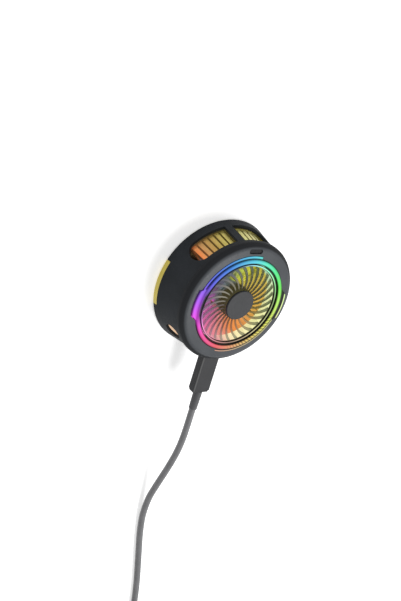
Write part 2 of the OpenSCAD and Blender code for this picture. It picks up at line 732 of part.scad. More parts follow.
module heat_sink() color("#c99a3c") difference() {
    union() {
        disc(fin_r(fin_z), sink_z, sink_base_t);
        disc(boss_r, sink_z, motor_base_z - sink_z);
        intersection() {
            tall_fins();
            translate([0, 0, sink_z]) cylinder(r1 = fin_r(sink_z) - part_gap, r2 = fin_r(wall_top_z) - part_gap,
                h = wall_top_z - sink_z);
        }
        // Low fins run in under the blades from every second tall fin
        for (i = [0 : 2 : fin_count - 1]) rotate([0, 0, (i + 0.5) * 360 / fin_count])
            translate([boss_r + 1.6, -low_fin_t / 2, fin_z - 0.3])
                cube([fin_in_r - boss_r - 1.2, low_fin_t, low_fin_h + 0.3]);
    }
    at_screws() disc(screw_r + shaft_gap, sink_z - cut, screw_end - sink_z + cut + slip_gap);
}

module thermal_pad() color("#b9c4cc") square_plate(tec_w, sink_z - pad_t, pad_t);

module tec_hot_plate() color("#eceae4") square_plate(tec_w, sink_z - pad_t - ceramic_t, ceramic_t);

module tec_pellets() color("#55585c") {
    pitch = tec_w / pellet_rows;
    side = 0.6 * pitch;
    for (i = [0 : pellet_rows - 1], j = [0 : pellet_rows - 1])
        translate([(i + 0.5) * pitch - tec_w / 2 - side / 2, (j + 0.5) * pitch - tec_w / 2 - side / 2,
            plate_t + ceramic_t]) cube([side, side, pellet_h]);
}

module tec_cold_plate() color("#eceae4") square_plate(tec_w, plate_t, ceramic_t);

module insulation_foam() color("#26272a") difference() {
    disc(plate_lip_r, plate_t, sink_z - plate_t);
    square_plate(tec_w + 2 * foam_gap, plate_t - cut, far_out);
    sensor_block(foam_gap, far_out);
}

module cold_plate() color("#b8bcc1") rotate_extrude() polygon([[0, 0], [plate_r - 0.3, 0], [plate_r, 0.3],
    [plate_r, plate_lip_z], [plate_lip_r, plate_lip_z], [plate_lip_r, plate_t], [0, plate_t]]);

// The sensor lies halfway between the cooling element and the cold plate's edge
module sensor_block(grow, h) {
    translate([-sensor_w / 2 - grow, sensor_y - sensor_l / 2 - grow, plate_t])
        cube([sensor_w + 2 * grow, sensor_l + 2 * grow, h]);
}

module temp_sensor() color("#3b3028") sensor_block(0, sensor_h);

// Electronics

module control_board() color("#1f4d36")
    translate([-control_board_w / 2, -control_board_y - control_board_l, control_board_z])
        cube([control_board_w, control_board_l, control_board_t]);

module board_parts() color("#2a2a2c") for (x = [-1, 1])
    translate([x * (control_board_w / 2 - 0.8) - 0.6, -control_board_y - 3, control_board_z + control_board_t])
        cube([1.2, 2, 1]);

module usb_socket() color("#b4b8bc") translate([0, 0, port_z]) difference() {
    along_y(-socket_y, socket_l) stadium(socket_w, socket_h);
    along_y(-socket_y - cut, socket_l + cut - socket_back) stadium(socket_w - 2 * socket_t, socket_h - 2 * socket_t);
}

module usb_tongue() color("#2c2c2e") translate([0, 0, port_z])
    along_y(-control_board_y - socket_back - tongue_l, tongue_l) square([tongue_w, tongue_h], center = true);

module button_switch() color("#3a3a3c") rotate([0, 0, button_angle]) {
    translate([switch_r - switch_w / 2, -switch_l / 2, board_top]) cube([switch_w, switch_l, switch_h]);
}

module mode_button() color("#55575a") rotate([0, 0, button_angle]) {
    translate([button_r, 0, button_flange_z]) linear_extrude(button_top - button_flange_z) rotate([0, 0, 90])
        stadium(slot_l - 2 * button_gap, slot_w - 2 * button_gap);
    // The flange keeps the button in its slot and reaches in over the switch
    translate([0, 0, button_flange_z]) linear_extrude(button_flange) {
        translate([button_r - 0.25, 0]) rotate([0, 0, 90]) stadium(slot_l + 0.8, slot_w - 0.4);
        translate([switch_r - stem_w / 2, -stem_l / 2]) square([button_r - switch_r, stem_l]);
    }
    stem_z = board_top + switch_h + button_travel + stem_gap;
    translate([switch_r - stem_w / 2, -stem_l / 2, stem_z]) cube([stem_w, stem_l, button_flange_z + 0.2 - stem_z]);
}

// Lead: each plug is drawn with the cord's end at the origin and its tip towards +Y

module relief() rotate([-90, 0, 0]) cylinder(r1 = relief_end_r, r2 = relief_big_r, h = relief_l);

module plug() {
    end_l = 0.9;
    end_in = 0.9;
    along_y(relief_l, end_l) round_box(plug_w - end_in, plug_h - end_in, plug_round - end_in / 2);
    along_y(relief_l + end_l, plug_l - end_l) round_box(plug_w, plug_h, plug_round);
}

module shell() difference() {
    along_y(relief_l + plug_l, shell_l) stadium(shell_w, shell_h);
    along_y(relief_l + plug_l + 0.5, shell_l) stadium(shell_w - 2 * shell_t, shell_h - 2 * shell_t);
}

module at_port() translate([0, cord_exit_y, port_z]) children();
module at_far_end() translate(far_end) rotate([0, 0, 180]) children();

module plug_shell() color("#b4b8bc") at_port() shell();
module plug_body() color("#3d3e41") at_port() plug();
module strain_relief() color("#3d3e41") at_port() relief();
module cord() color("#47484b") tube([for (p = cord_route) p + [0, cord_exit_y, 0]], cord_d / 2, cord_sides);
module cord_coil() color("#47484b") tube(coil_path, cord_d / 2, coil_sides);

module cord_tie() color("#2a2b2d") translate([coil_mid[0], coil_mid[1], 0]) rotate([0, 0, tie_angle]) {
    r_in = coil_in_r - cord_d / 2 - 0.9;
    r_out = coil_r + cord_d / 2 + part_gap;
    top = coil_z + layer_pitch + cord_d / 2 + part_gap;
    translate([r_in - tie_t, -tie_w / 2, 0]) difference() {
        cube([r_out - r_in + 2 * tie_t, tie_w, top + tie_t]);
        translate([tie_t, -cut, tie_t]) cube([r_out - r_in, tie_w + 2 * cut, top - tie_t]);
    }
}

module far_strain_relief() color("#3d3e41") at_far_end() relief();
module far_plug_body() color("#3d3e41") at_far_end() plug();
module far_plug_shell() color("#b4b8bc") at_far_end() shell();

front_cover();
body_shell();
rear_cover();
contact_skin();
rear_light_ring();
magnets();
magnet_yoke();
case_screws();
light_ring();
light_board();
leds();
fan_duct();
blade_wheel();
rotor_hub();
hub_cap();
rotor_yoke();
rotor_magnet();
rotor_shaft();
bearing_sleeve();
thrust_washer();
motor_base();
stator_core();
stator_coils();
motor_board();
heat_sink();
thermal_pad();
tec_hot_plate();
tec_pellets();
tec_cold_plate();
insulation_foam();
cold_plate();
temp_sensor();
control_board();
board_parts();
usb_socket();
usb_tongue();
button_switch();
mode_button();
plug_shell();
plug_body();
strain_relief();
cord();
cord_coil();
cord_tie();
far_strain_relief();
far_plug_body();
far_plug_shell();
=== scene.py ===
import math

import bmesh
import bpy
from mathutils import Matrix, Vector


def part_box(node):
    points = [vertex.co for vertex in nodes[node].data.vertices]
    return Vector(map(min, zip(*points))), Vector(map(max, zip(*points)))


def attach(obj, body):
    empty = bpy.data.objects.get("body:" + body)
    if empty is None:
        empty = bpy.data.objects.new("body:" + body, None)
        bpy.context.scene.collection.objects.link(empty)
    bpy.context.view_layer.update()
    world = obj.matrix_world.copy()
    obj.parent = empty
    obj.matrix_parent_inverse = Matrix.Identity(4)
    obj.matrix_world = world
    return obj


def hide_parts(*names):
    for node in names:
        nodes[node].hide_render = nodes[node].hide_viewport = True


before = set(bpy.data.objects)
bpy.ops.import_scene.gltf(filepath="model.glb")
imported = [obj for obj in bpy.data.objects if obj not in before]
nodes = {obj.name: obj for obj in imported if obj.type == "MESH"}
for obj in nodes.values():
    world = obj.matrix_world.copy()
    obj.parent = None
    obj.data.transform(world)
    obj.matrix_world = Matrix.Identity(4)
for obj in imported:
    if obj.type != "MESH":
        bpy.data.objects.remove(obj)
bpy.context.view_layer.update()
MM = 0.001
TURN = 2 * math.pi


# Camera, where the photograph was taken from: lens and film in millimetres, its place in metres

LENS, FILM_WIDTH = 97.85, 36
CAMERA_AT = (-0.4217, 0.2785, 0.4734)
CAMERA_RIGHT = (0.7962, 0.2668, 0.5430)
CAMERA_UP = (0.0437, 0.8698, -0.4914)
CAMERA_BACK = (-0.6034, 0.4150, 0.6809)


def place_camera():
    data = bpy.data.cameras.new("camera")
    data.lens = LENS
    data.sensor_width = FILM_WIDTH
    camera = bpy.data.objects.new("camera", data)
    turn = Matrix((CAMERA_RIGHT, CAMERA_UP, CAMERA_BACK)).transposed().to_4x4()
    camera.matrix_world = Matrix.Translation(CAMERA_AT) @ turn
    bpy.context.scene.collection.objects.link(camera)
    bpy.context.scene.camera = camera


place_camera()


# Cord: the way it takes in part.scad, from the strain relief to the wound part and on to the far plug, in millimetres

CORD_D = 3.0
CORD_GAP = 0.6
PORT_Z = 13.2
EXIT_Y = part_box("strain_relief")[0].y / MM
FLOOR_Z = CORD_D / 2
TIE_ROOM = 0.8
COIL_Z = FLOOR_Z + TIE_ROOM
ROUTE = [(0, 0, PORT_Z), (0, -4, PORT_Z), (0, -10, PORT_Z), (0, -16, 13), (0, -23, 12.1), (0, -31, 10.2),
         (0, -39, 7.8), (0, -47, 5.3), (0, -55, 3.2), (0.8, -65, 1.9), (2.6, -75, FLOOR_Z), (5, -85, FLOOR_Z),
         (7.5, -95, FLOOR_Z), (9.9, -105, FLOOR_Z), (11.9, -115, FLOOR_Z), (13.3, -125, 1.7), (13.9, -134, 2.1),
         (14, -140, COIL_Z), (14, -144, COIL_Z)]
ROUTE_PARTS = 3
COIL_R, TURNS_IN, TURNS_OUT = 25.9, 4.5, 4
PITCH = CORD_D + CORD_GAP
COIL_STEPS = 36
CLIMB_DIP = 0.8
TAIL_L, TAIL_ASIDE, TAIL_STEPS = 32, 7, 12
ASIDE_BY, DOWN_FROM = 0.7, 0.3  # shares of the tail: it has moved aside by the first, and comes down from the second
FAR_Z = 2.2
COIL_START = Vector((ROUTE[-1][0], ROUTE[-1][1] + EXIT_Y, COIL_Z))
COIL_MID = COIL_START + Vector((-COIL_R, -CORD_D, 0))
COIL_IN_R = COIL_R - PITCH * TURNS_IN
COIL_END_R = COIL_IN_R + PITCH * TURNS_OUT


def smooth(t):
    """Goes gently from 0 to 1 as t does, and stays at them outside."""
    t = min(1, max(0, t))
    return t * t * (3 - 2 * t)


def through(points, parts):
    """Points of a smooth line through the given ones."""
    ends = [2 * points[0] - points[1], *points, 2 * points[-1] - points[-2]]
    line = []
    for a, b, c, d in zip(ends, ends[1:], ends[2:], ends[3:]):
        for i in range(parts):
            t = i / parts
            line.append(0.5 * (2 * b + t * (c - a) + t * t * (2 * a - 5 * b + 4 * c - d)
                               + t ** 3 * (3 * b - a - 3 * c + d)))
    return line + [points[-1]]


def coil_line():
    """The wound part: inwards on the floor, up half a turn, outwards on top, and down to the far plug."""
    def at(steps, r, z):
        a = -TURN * steps / COIL_STEPS
        return COIL_MID + Vector((r * math.cos(a), r * math.sin(a), z - COIL_Z))

    inwards, half, outwards = int(TURNS_IN * COIL_STEPS), COIL_STEPS // 2, int(TURNS_OUT * COIL_STEPS)
    top = COIL_Z + PITCH
    line = [at(i, COIL_R - PITCH * i / COIL_STEPS, COIL_Z) for i in range(inwards + 1)]
    line += [at(inwards + i, COIL_IN_R - CLIMB_DIP * math.sin(math.pi * i / half),
                COIL_Z + PITCH * smooth(i / half)) for i in range(1, half + 1)]
    line += [at(inwards + half + i, COIL_IN_R + PITCH * i / COIL_STEPS, top) for i in range(1, outwards + 1)]
    for i in range(1, TAIL_STEPS + 1):
        t = i / TAIL_STEPS
        aside = TAIL_ASIDE * smooth(t / ASIDE_BY)
        down = (FAR_Z - top) * smooth((t - DOWN_FROM) / (1 - DOWN_FROM))
        line.append(COIL_MID + Vector((COIL_END_R + aside, -TAIL_L * t, top - COIL_Z + down)))
    return line + [COIL_MID + Vector((COIL_END_R + TAIL_ASIDE, -TAIL_L - CORD_D, FAR_Z - COIL_Z))]


def lay_cord():
    route = [Vector((x, y + EXIT_Y, z)) for x, y, z in ROUTE]
    line = [p * MM for p in through(route, ROUTE_PARTS) + coil_line()]
    data = bpy.data.curves.new("cord_jacket", "CURVE")
    data.dimensions = "3D"
    data.bevel_depth = 1.0
    data.bevel_resolution = 5
    data.use_fill_caps = True
    spline = data.splines.new("POLY")
    spline.points.add(len(line) - 1)
    for point, place in zip(spline.points, line):
        point.co = (*place, 1)
        point.radius = CORD_D / 2 * MM
    spline.use_smooth = True
    cord = bpy.data.objects.new("cord_jacket", data)
    bpy.context.scene.collection.objects.link(cord)
    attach(cord, "case")
    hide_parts("cord", "cord_coil")
    return cord, line


# Tie: a strap of hook-and-loop tape round the coil, in millimetres

TIE_ANGLE = 225
STRAP_W, STRAP_T, STRAP_CORNER = 7.0, 0.55, 2.2
CORNER_STEPS = 8
SLACK_IN, SLACK_OUT, SLACK_TOP = 0.9, 0.2, 0.45
STRAP_IN_R = COIL_IN_R - CORD_D / 2 - SLACK_IN
STRAP_OUT_R = COIL_R + CORD_D / 2 + SLACK_OUT
STRAP_LOW = 0.3
STRAP_HIGH = COIL_Z + PITCH + CORD_D / 2 + SLACK_TOP
ACROSS_STRAP = (-0.5, -0.46, -0.2, 0.2, 0.46, 0.5)
EDGE_DRAWN_IN = 0.12


def strap():
    """A closed band with round corners, its two edges drawn in a little."""
    mid = Vector(((STRAP_IN_R + STRAP_OUT_R) / 2, 0, (STRAP_LOW + STRAP_HIGH) / 2))
    left, right = STRAP_IN_R + STRAP_CORNER, STRAP_OUT_R - STRAP_CORNER
    low, high = STRAP_LOW + STRAP_CORNER, STRAP_HIGH - STRAP_CORNER
    loop = []
    for x, z, start in ((right, high, 0), (left, high, 90), (left, low, 180), (right, low, 270)):
        for i in range(CORNER_STEPS + 1):
            a = math.radians(start + 90 * i / CORNER_STEPS)
            loop.append(Vector((x + STRAP_CORNER * math.cos(a), 0, z + STRAP_CORNER * math.sin(a))))
    mesh = bmesh.new()
    turn = Matrix.Rotation(math.radians(TIE_ANGLE), 3, "Z")
    rows = []
    for spot in loop:
        row = []
        for s in ACROSS_STRAP:
            sink = EDGE_DRAWN_IN if s in (ACROSS_STRAP[0], ACROSS_STRAP[-1]) else 0
            place = spot + Vector((0, s * STRAP_W, 0)) + (mid - spot).normalized() * sink
            row.append(mesh.verts.new((turn @ place + Vector((COIL_MID.x, COIL_MID.y, 0))) * MM))
        rows.append(row)
    for a, b in zip(rows, rows[1:] + rows[:1]):
        for k in range(len(a) - 1):
            mesh.faces.new((a[k], a[k + 1], b[k + 1], b[k]))
    data = bpy.data.meshes.new("tie_strap")
    bmesh.ops.recalc_face_normals(mesh, faces=mesh.faces)
    mesh.to_mesh(data)
    mesh.free()
    for face in data.polygons:
        face.use_smooth = True
    band = bpy.data.objects.new("tie_strap", data)
    bpy.context.scene.collection.objects.link(band)
    body = band.modifiers.new("thickness", "SOLIDIFY")
    body.thickness = STRAP_T * MM
    body.offset = 0
    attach(band, "case")
    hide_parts("cord_tie")
    return band


cord, cord_line = lay_cord()
tie = strap()


# Materials. Light and colour that change round the fan go by the share of a turn, from +X towards +Y. A Mix node's
# inputs are its factor at 0, its numbers at 2 and 3 and its colours at 6 and 7; it gives a number at 0, a colour at 2.

BLACK, WHITE = "#000000", "#ffffff"
LOW, HIGH = 0.3, 0.7  # what a noise pattern mostly lies between


def linear(code):
    """The linear colour of an sRGB hex value."""
    parts = [int(code[i:i + 2], 16) / 255 for i in (1, 3, 5)]
    return (*(c / 12.92 if c <= 0.04045 else ((c + 0.055) / 1.055) ** 2.4 for c in parts), 1)


def per_mm(size):
    """The scale of a pattern whose features are a number of millimetres across."""
    return 1 / (size * MM)


def add(tree, kind, inputs=(), stops=(), **settings):
    """Adds a node with its settings, sets or links its inputs, by name or in order, and gives its outputs. A ramp also
    gets its (place, hex) stops, in rising order."""
    made = tree.nodes.new("ShaderNode" + kind)
    for name, value in settings.items():
        setattr(made, name, value)
    for name, value in inputs.items() if isinstance(inputs, dict) else enumerate(inputs):
        if isinstance(value, bpy.types.NodeSocket):
            tree.links.new(value, made.inputs[name])
        else:
            made.inputs[name].default_value = value
    if stops:
        marks = made.color_ramp.elements
        for mark, (at, code) in zip(marks, (stops[0], stops[-1])):
            mark.position, mark.color = at, linear(code)
        for at, code in stops[1:-1]:
            marks.new(at).color = linear(code)
    return made.outputs


def blank(name):
    material = bpy.data.materials.new(name)
    material.use_nodes = True
    material.node_tree.nodes.clear()
    return material, material.node_tree


def surface(material, shader):
    add(material.node_tree, "OutputMaterial", {"Surface": shader})
    return material


def around(tree):
    """The angle about the fan's axis: 0 at +X, a quarter at +Y, and 1 after a full turn."""
    axes = add(tree, "SeparateXYZ", [add(tree, "NewGeometry")["Position"]])
    angle = add(tree, "Math", [axes["Y"], axes["X"]], operation="ARCTAN2")[0]
    share = add(tree, "Math", [angle, TURN], operation="DIVIDE")[0]
    return add(tree, "Math", [share], operation="FRACT")[0]


def from_axis(tree):
    """The distance from the fan's axis, in millimetres."""
    spot = add(tree, "NewGeometry")["Position"]
    flat = add(tree, "VectorMath", [spot, (1 / MM, 1 / MM, 0)], operation="MULTIPLY")[0]
    return add(tree, "VectorMath", [flat], operation="LENGTH")["Value"]


def above_floor(tree):
    """The height over the contact face, in metres."""
    return add(tree, "SeparateXYZ", [add(tree, "NewGeometry")["Position"]])["Z"]


# The rim's painted shade: nearly black, and duller
RIM_SHADE_COLOUR, RIM_ROUGHNESS = "#1a1c1f", 0.7
# Painted highlight on rounded ridges, by how far they face up
RIDGE_HIGHLIGHT = [(0.3, BLACK), (0.6, WHITE), (0.9, WHITE), (0.99, BLACK)]  # by how far a ridge faces up


def moulded_abs(name, pale, dark, roughness, gloss=0.3, rim=None, ridge=None, lit=BLACK):
    """ABS moulded in a spark-eroded tool, and other moulded or pressed pieces with such a skin: dull and even, with a
    fine grain that breaks up the sheen. The real grain of about 0.1 mm is drawn coarser so that it shows. A rim, from a
    radius to a radius, is duller and nearly black with painted shade, rounded ridges that face up carry a painted
    highlight, and a piece that the ring's light would reach has that light painted on as a faint glow."""
    material, tree = blank(name)
    spot = add(tree, "NewGeometry")["Position"]
    clouds = add(tree, "TexNoise", {"Vector": spot, "Scale": per_mm(9), "Detail": 3})[0]
    grain = add(tree, "TexNoise", {"Vector": spot, "Scale": per_mm(0.5), "Detail": 3})[0]
    colour = add(tree, "ValToRGB", [clouds], [(LOW, dark), (HIGH, pale)])[0]
    dull = add(tree, "MapRange", [grain, LOW, HIGH, roughness - 0.06, roughness + 0.06])[0]
    if rim:
        # The rim between these radii is darkened as painted shade
        outside = add(tree, "MapRange", [from_axis(tree), *rim])[0]
        colour = add(tree, "Mix", {0: outside, 6: colour, 7: linear(RIM_SHADE_COLOUR)}, data_type="RGBA")[2]
        dull = add(tree, "Mix", {0: outside, 2: dull, 3: RIM_ROUGHNESS})[0]
    if ridge:
        # Ridges that face up get a painted highlight
        facing = add(tree, "SeparateXYZ", [add(tree, "NewGeometry")["Normal"]])["Z"]
        ridge_highlight_share = add(tree, "ValToRGB", [facing], RIDGE_HIGHLIGHT)[0]
        colour = add(tree, "Mix", {0: ridge_highlight_share, 6: colour, 7: linear(ridge)}, data_type="RGBA")[2]
    shader = add(tree, "BsdfPrincipled", {
        "Base Color": colour, "Roughness": dull, "IOR": 1.53, "Specular IOR Level": gloss,
        "Emission Color": linear(lit), "Emission Strength": 1.0,
        "Normal": add(tree, "Bump", {"Height": grain, "Distance": 0.03 * MM, "Strength": 0.4})[0]})[0]
    return surface(material, shader)


def soft_rubber(name, pale, dark, roughness=0.62, grain_mm=0.7):
    """Moulded silicone or an extruded jacket: matte, with a faint bloom and small handling marks."""
    material, tree = blank(name)
    spot = add(tree, "NewGeometry")["Position"]
    clouds = add(tree, "TexNoise", {"Vector": spot, "Scale": per_mm(5), "Detail": 4})[0]
    marks = add(tree, "TexNoise", {"Vector": spot, "Scale": per_mm(2.5), "Detail": 2})[0]
    grain = add(tree, "TexNoise", {"Vector": spot, "Scale": per_mm(grain_mm), "Detail": 2})[0]
    shader = add(tree, "BsdfPrincipled", {
        "Base Color": add(tree, "ValToRGB", [clouds], [(LOW, dark), (HIGH, pale)])[0],
        "Roughness": add(tree, "MapRange", [marks, LOW, HIGH, roughness - 0.08, roughness + 0.08])[0],
        "IOR": 1.42, "Sheen Weight": 0.15, "Sheen Roughness": 0.5,
        "Normal": add(tree, "Bump", {"Height": grain, "Distance": 0.03 * MM, "Strength": 0.4})[0]})[0]
    return surface(material, shader)


# The lit ring: its radii in millimetres, and the heights, in metres, between which its bulges rise from its steps
RING_COLOURS = [(0.0, "#b0e668"), (0.06, "#68e454"), (0.13, "#54e48c"), (0.19, "#5ce4c0"), (0.24, "#54c8dc"),
                (0.34, "#3c7cd4"), (0.42, "#5c58d8"), (0.48, "#a850e6"), (0.54, "#e048e0"), (0.62, "#e84c9c"),
                (0.70, "#e05c64"), (0.79, "#d0a068"), (0.92, "#ccd058"), (1.0, "#b0e668")]
RING_IN_R, RING_OUT_R, STEP_R, BULGE_R = 19.2, 21.4, 22.6, 23.7
RING_JOIN = RING_OUT_R - 0.01, RING_OUT_R + 0.01
# Radii from which the shaded wings carry a painted highlight along their outer edge
EDGE_HIGHLIGHT_R = 21.8, 22.0
BULGE_Z = 0.0214, 0.0216
STREAKS, STREAK_R, STREAK_LEAN = 84, (19, 23), -11  # streaks in a turn, and their lean in radians over these radii
# Where the crown's light leans outwards, where a painted reflection lies over it in streaks, and where the wings carry
# painted shade
ON_THE_LEFT = [(0.42, BLACK), (0.46, WHITE), (0.53, WHITE), (0.57, BLACK)]
LOW_ON_RIGHT = [(0.74, BLACK), (0.80, WHITE), (0.92, WHITE), (0.97, BLACK)]
SHADED_WINGS = [(0.06, WHITE), (0.09, BLACK), (0.64, BLACK), (0.67, WHITE)]
# Light across the ring, from its inner edge outwards: the diodes' glow with painted shade towards the crown's edges
# and, on the left, over its inner side; on the shaded wings painted shade with a painted highlight along the outer edge
CROWN_LIGHT = [(0.09, BLACK), (0.22, "#e0e0e0"), (0.4, WHITE), (0.8, "#e0e0e0"), (0.92, "#808080"), (1.0, "#303030")]
LEFT_CROWN_LIGHT = [(0.1, "#080808"), (0.4, "#303030"), (0.65, "#a8a8a8"), (1.0, "#d8d8d8")]
STEP_LIGHT = [(0.12, "#2c2c2c"), (0.3, "#e0e0e0"), (0.85, WHITE), (0.98, "#707070")]
DARK_STEP_LIGHT = [(0.0, "#181818"), (0.55, "#282828"), (0.8, "#d8d8d8")]
BULGE_LIGHT = [(0.0, "#d8d8d8"), (0.4, WHITE), (0.7, WHITE), (0.95, "#b0b0b0")]
DARK_BULGE_LIGHT = [(0.0, "#808080"), (0.12, "#505050"), (0.18, BLACK), (0.7, BLACK), (0.8, WHITE)]


def lit_polycarbonate(name):
    """Opal polycarbonate, moulded, over coloured diodes: a satin skin on a milky body that glows in all the colours of
    the rainbow round its crown, with painted shade down the crown's sides. Its wings glow above and on the left, where
    diodes lie under them; elsewhere they carry painted shade, with a painted highlight along their outer edges. Low on
    the right a painted reflection lies over the crown as streaks."""
    material, tree = blank(name)
    turn, radius = around(tree), from_axis(tree)
    hue = add(tree, "ValToRGB", [turn], RING_COLOURS)[0]

    over_crown = add(tree, "MapRange", [radius, RING_IN_R, RING_OUT_R])[0]
    crown = add(tree, "ValToRGB", [over_crown], CROWN_LIGHT)[0]
    left_crown = add(tree, "ValToRGB", [over_crown], LEFT_CROWN_LIGHT)[0]
    left = add(tree, "ValToRGB", [turn], ON_THE_LEFT)[0]
    crown = add(tree, "Mix", {0: left, 6: crown, 7: left_crown}, data_type="RGBA")[2]
    # Low on the right a painted reflection lies over the crown as leaning streaks
    lean = add(tree, "MapRange", [radius, *STREAK_R, 0, STREAK_LEAN])[0]
    wave = add(tree, "Math", [turn, TURN * STREAKS, lean], operation="MULTIPLY_ADD")[0]
    wave = add(tree, "Math", [wave], operation="SINE")[0]
    streak_reflection = add(tree, "MapRange", [wave, -0.7, 0.7, 0.45, 1.2])[0]
    low_right = add(tree, "ValToRGB", [turn], LOW_ON_RIGHT)[0]
    streak_reflection = add(tree, "Mix", {0: low_right, 6: linear(WHITE), 7: streak_reflection}, data_type="RGBA")[2]
    crown = add(tree, "Mix", {0: 1.0, 6: crown, 7: streak_reflection}, data_type="RGBA", blend_type="MULTIPLY")[2]

    # The wings: the diodes' glow above and on the left, and painted shade elsewhere
    over_step = add(tree, "MapRange", [radius, RING_OUT_R, STEP_R])[0]
    over_bulge = add(tree, "MapRange", [radius, RING_OUT_R, BULGE_R])[0]
    step = add(tree, "ValToRGB", [over_step], STEP_LIGHT)[0]
    dark_step = add(tree, "ValToRGB", [over_step], DARK_STEP_LIGHT)[0]
    bulge = add(tree, "ValToRGB", [over_bulge], BULGE_LIGHT)[0]
    dark_bulge = add(tree, "ValToRGB", [over_bulge], DARK_BULGE_LIGHT)[0]
    wing_shade = add(tree, "ValToRGB", [turn], SHADED_WINGS)[0]
    step = add(tree, "Mix", {0: wing_shade, 6: step, 7: dark_step}, data_type="RGBA")[2]
    bulge = add(tree, "Mix", {0: wing_shade, 6: bulge, 7: dark_bulge}, data_type="RGBA")[2]
    on_bulge = add(tree, "MapRange", [above_floor(tree), *BULGE_Z])[0]
    wing = add(tree, "Mix", {0: on_bulge, 6: step, 7: bulge}, data_type="RGBA")[2]
    on_wing = add(tree, "MapRange", [radius, *RING_JOIN])[0]
    level = add(tree, "Mix", {0: on_wing, 6: crown, 7: wing}, data_type="RGBA")[2]

    # A painted highlight along the outer edge of the shaded wings, paler than the ring's hue
    at_edge = add(tree, "MapRange", [radius, *EDGE_HIGHLIGHT_R])[0]
    at_edge = add(tree, "Math", [wing_shade, at_edge], operation="MULTIPLY")[0]
    edge_highlight = add(tree, "Mix", {0: 0.4, 6: hue, 7: linear("#fff4d0")}, data_type="RGBA")[2]
    hue = add(tree, "Mix", {0: at_edge, 6: hue, 7: edge_highlight}, data_type="RGBA")[2]
    glow = add(tree, "Mix", {0: 1.0, 6: hue, 7: level}, data_type="RGBA", blend_type="MULTIPLY")[2]
    spot = add(tree, "NewGeometry")["Position"]
    grain = add(tree, "TexNoise", {"Vector": spot, "Scale": per_mm(0.8), "Detail": 2})[0]
    shader = add(tree, "BsdfPrincipled", {
        "Base Color": add(tree, "Mix", {0: 0.75, 6: glow, 7: linear(BLACK)}, data_type="RGBA")[2],
        "Emission Color": glow, "Emission Strength": 0.95,
        "Roughness": 0.35, "IOR": 1.5, "Specular IOR Level": 0.1,
        "Normal": add(tree, "Bump", {"Height": grain, "Distance": 0.02 * MM, "Strength": 0.4})[0]})[0]
    return surface(material, shader)


# The duct: its wall's colours, how brightly its lip is lit, and the heights, in metres, at which its painted shade and
# its lip begin
DUCT_COLOURS = [(0.0, "#f0fcc0"), (0.08, "#d0ecc0"), (0.16, "#8fc8a8"), (0.26, "#4f7a70"), (0.4, "#3a4450"),
                (0.5, "#7a4a78"), (0.62, "#e88cc0"), (0.72, "#e0a4a4"), (0.79, "#fcf4c0"), (0.92, "#f8fcb8"),
                (1.0, "#f0fcc0")]
LIP_LIGHT = [(0.0, "#a8a8a8"), (0.12, WHITE), (0.23, WHITE), (0.3, "#505050"), (0.38, "#080808"), (0.5, "#101010"),
             (0.58, WHITE), (0.68, "#d0d0d0"), (0.76, "#a0a0a0"), (0.87, "#e0e0e0"), (1.0, "#a8a8a8")]
ACROSS_LIP = [(0.08, BLACK), (0.25, WHITE), (0.8, WHITE), (0.9, BLACK)]
LIP_R = 18.0, 18.7
SHADE_Z, LIP_Z = (0.0202, 0.0214), (0.0211, 0.0213)


def lit_duct(name):
    """Opal polycarbonate, moulded thin, with the ring's light painted on its wall as a glow. Above the blades painted
    shade darkens it up to its lip, which shows as a line of painted light in the ring's colours, dark on the left."""
    material, tree = blank(name)
    turn, height = around(tree), above_floor(tree)
    # Painted shade darkens the wall above the blades, up to the lip
    shade_band = add(tree, "MapRange", [height, *SHADE_Z])[0]
    shade_band = add(tree, "ValToRGB", [shade_band], [(0.0, WHITE), (0.25, "#181818")])[0]
    # The wall's glow round the turn is painted light from the ring
    wall = add(tree, "ValToRGB", [turn], DUCT_COLOURS)[0]
    wall = add(tree, "Mix", {0: 1.0, 6: wall, 7: shade_band}, data_type="RGBA", blend_type="MULTIPLY")[2]

    # The lip: a line of painted light in the ring's colours, dark on the left and at both its edges
    lip = add(tree, "ValToRGB", [turn], RING_COLOURS)[0]
    lip = add(tree, "Mix", {0: 0.25, 6: lip, 7: linear(WHITE)}, data_type="RGBA")[2]
    light = add(tree, "ValToRGB", [turn], LIP_LIGHT)[0]
    lip = add(tree, "Mix", {0: 1.0, 6: lip, 7: light}, data_type="RGBA", blend_type="MULTIPLY")[2]
    across = add(tree, "MapRange", [from_axis(tree), *LIP_R])[0]
    across = add(tree, "ValToRGB", [across], ACROSS_LIP)[0]
    lip = add(tree, "Mix", {0: 1.0, 6: lip, 7: across}, data_type="RGBA", blend_type="MULTIPLY")[2]

    on_lip = add(tree, "MapRange", [height, *LIP_Z])[0]
    glow = add(tree, "Mix", {0: on_lip, 6: wall, 7: lip}, data_type="RGBA")[2]
    spot = add(tree, "NewGeometry")["Position"]
    grain = add(tree, "TexNoise", {"Vector": spot, "Scale": per_mm(0.9), "Detail": 2})[0]
    shader = add(tree, "BsdfPrincipled", {
        "Base Color": add(tree, "Mix", {0: 0.6, 6: glow, 7: linear("#0a0a0a")}, data_type="RGBA")[2],
        "Emission Color": glow, "Emission Strength": 0.85,
        "Roughness": 0.5, "IOR": 1.5, "Specular IOR Level": 0.1,
        "Normal": add(tree, "Bump", {"Height": grain, "Distance": 0.02 * MM, "Strength": 0.3})[0]})[0]
    return surface(material, shader)


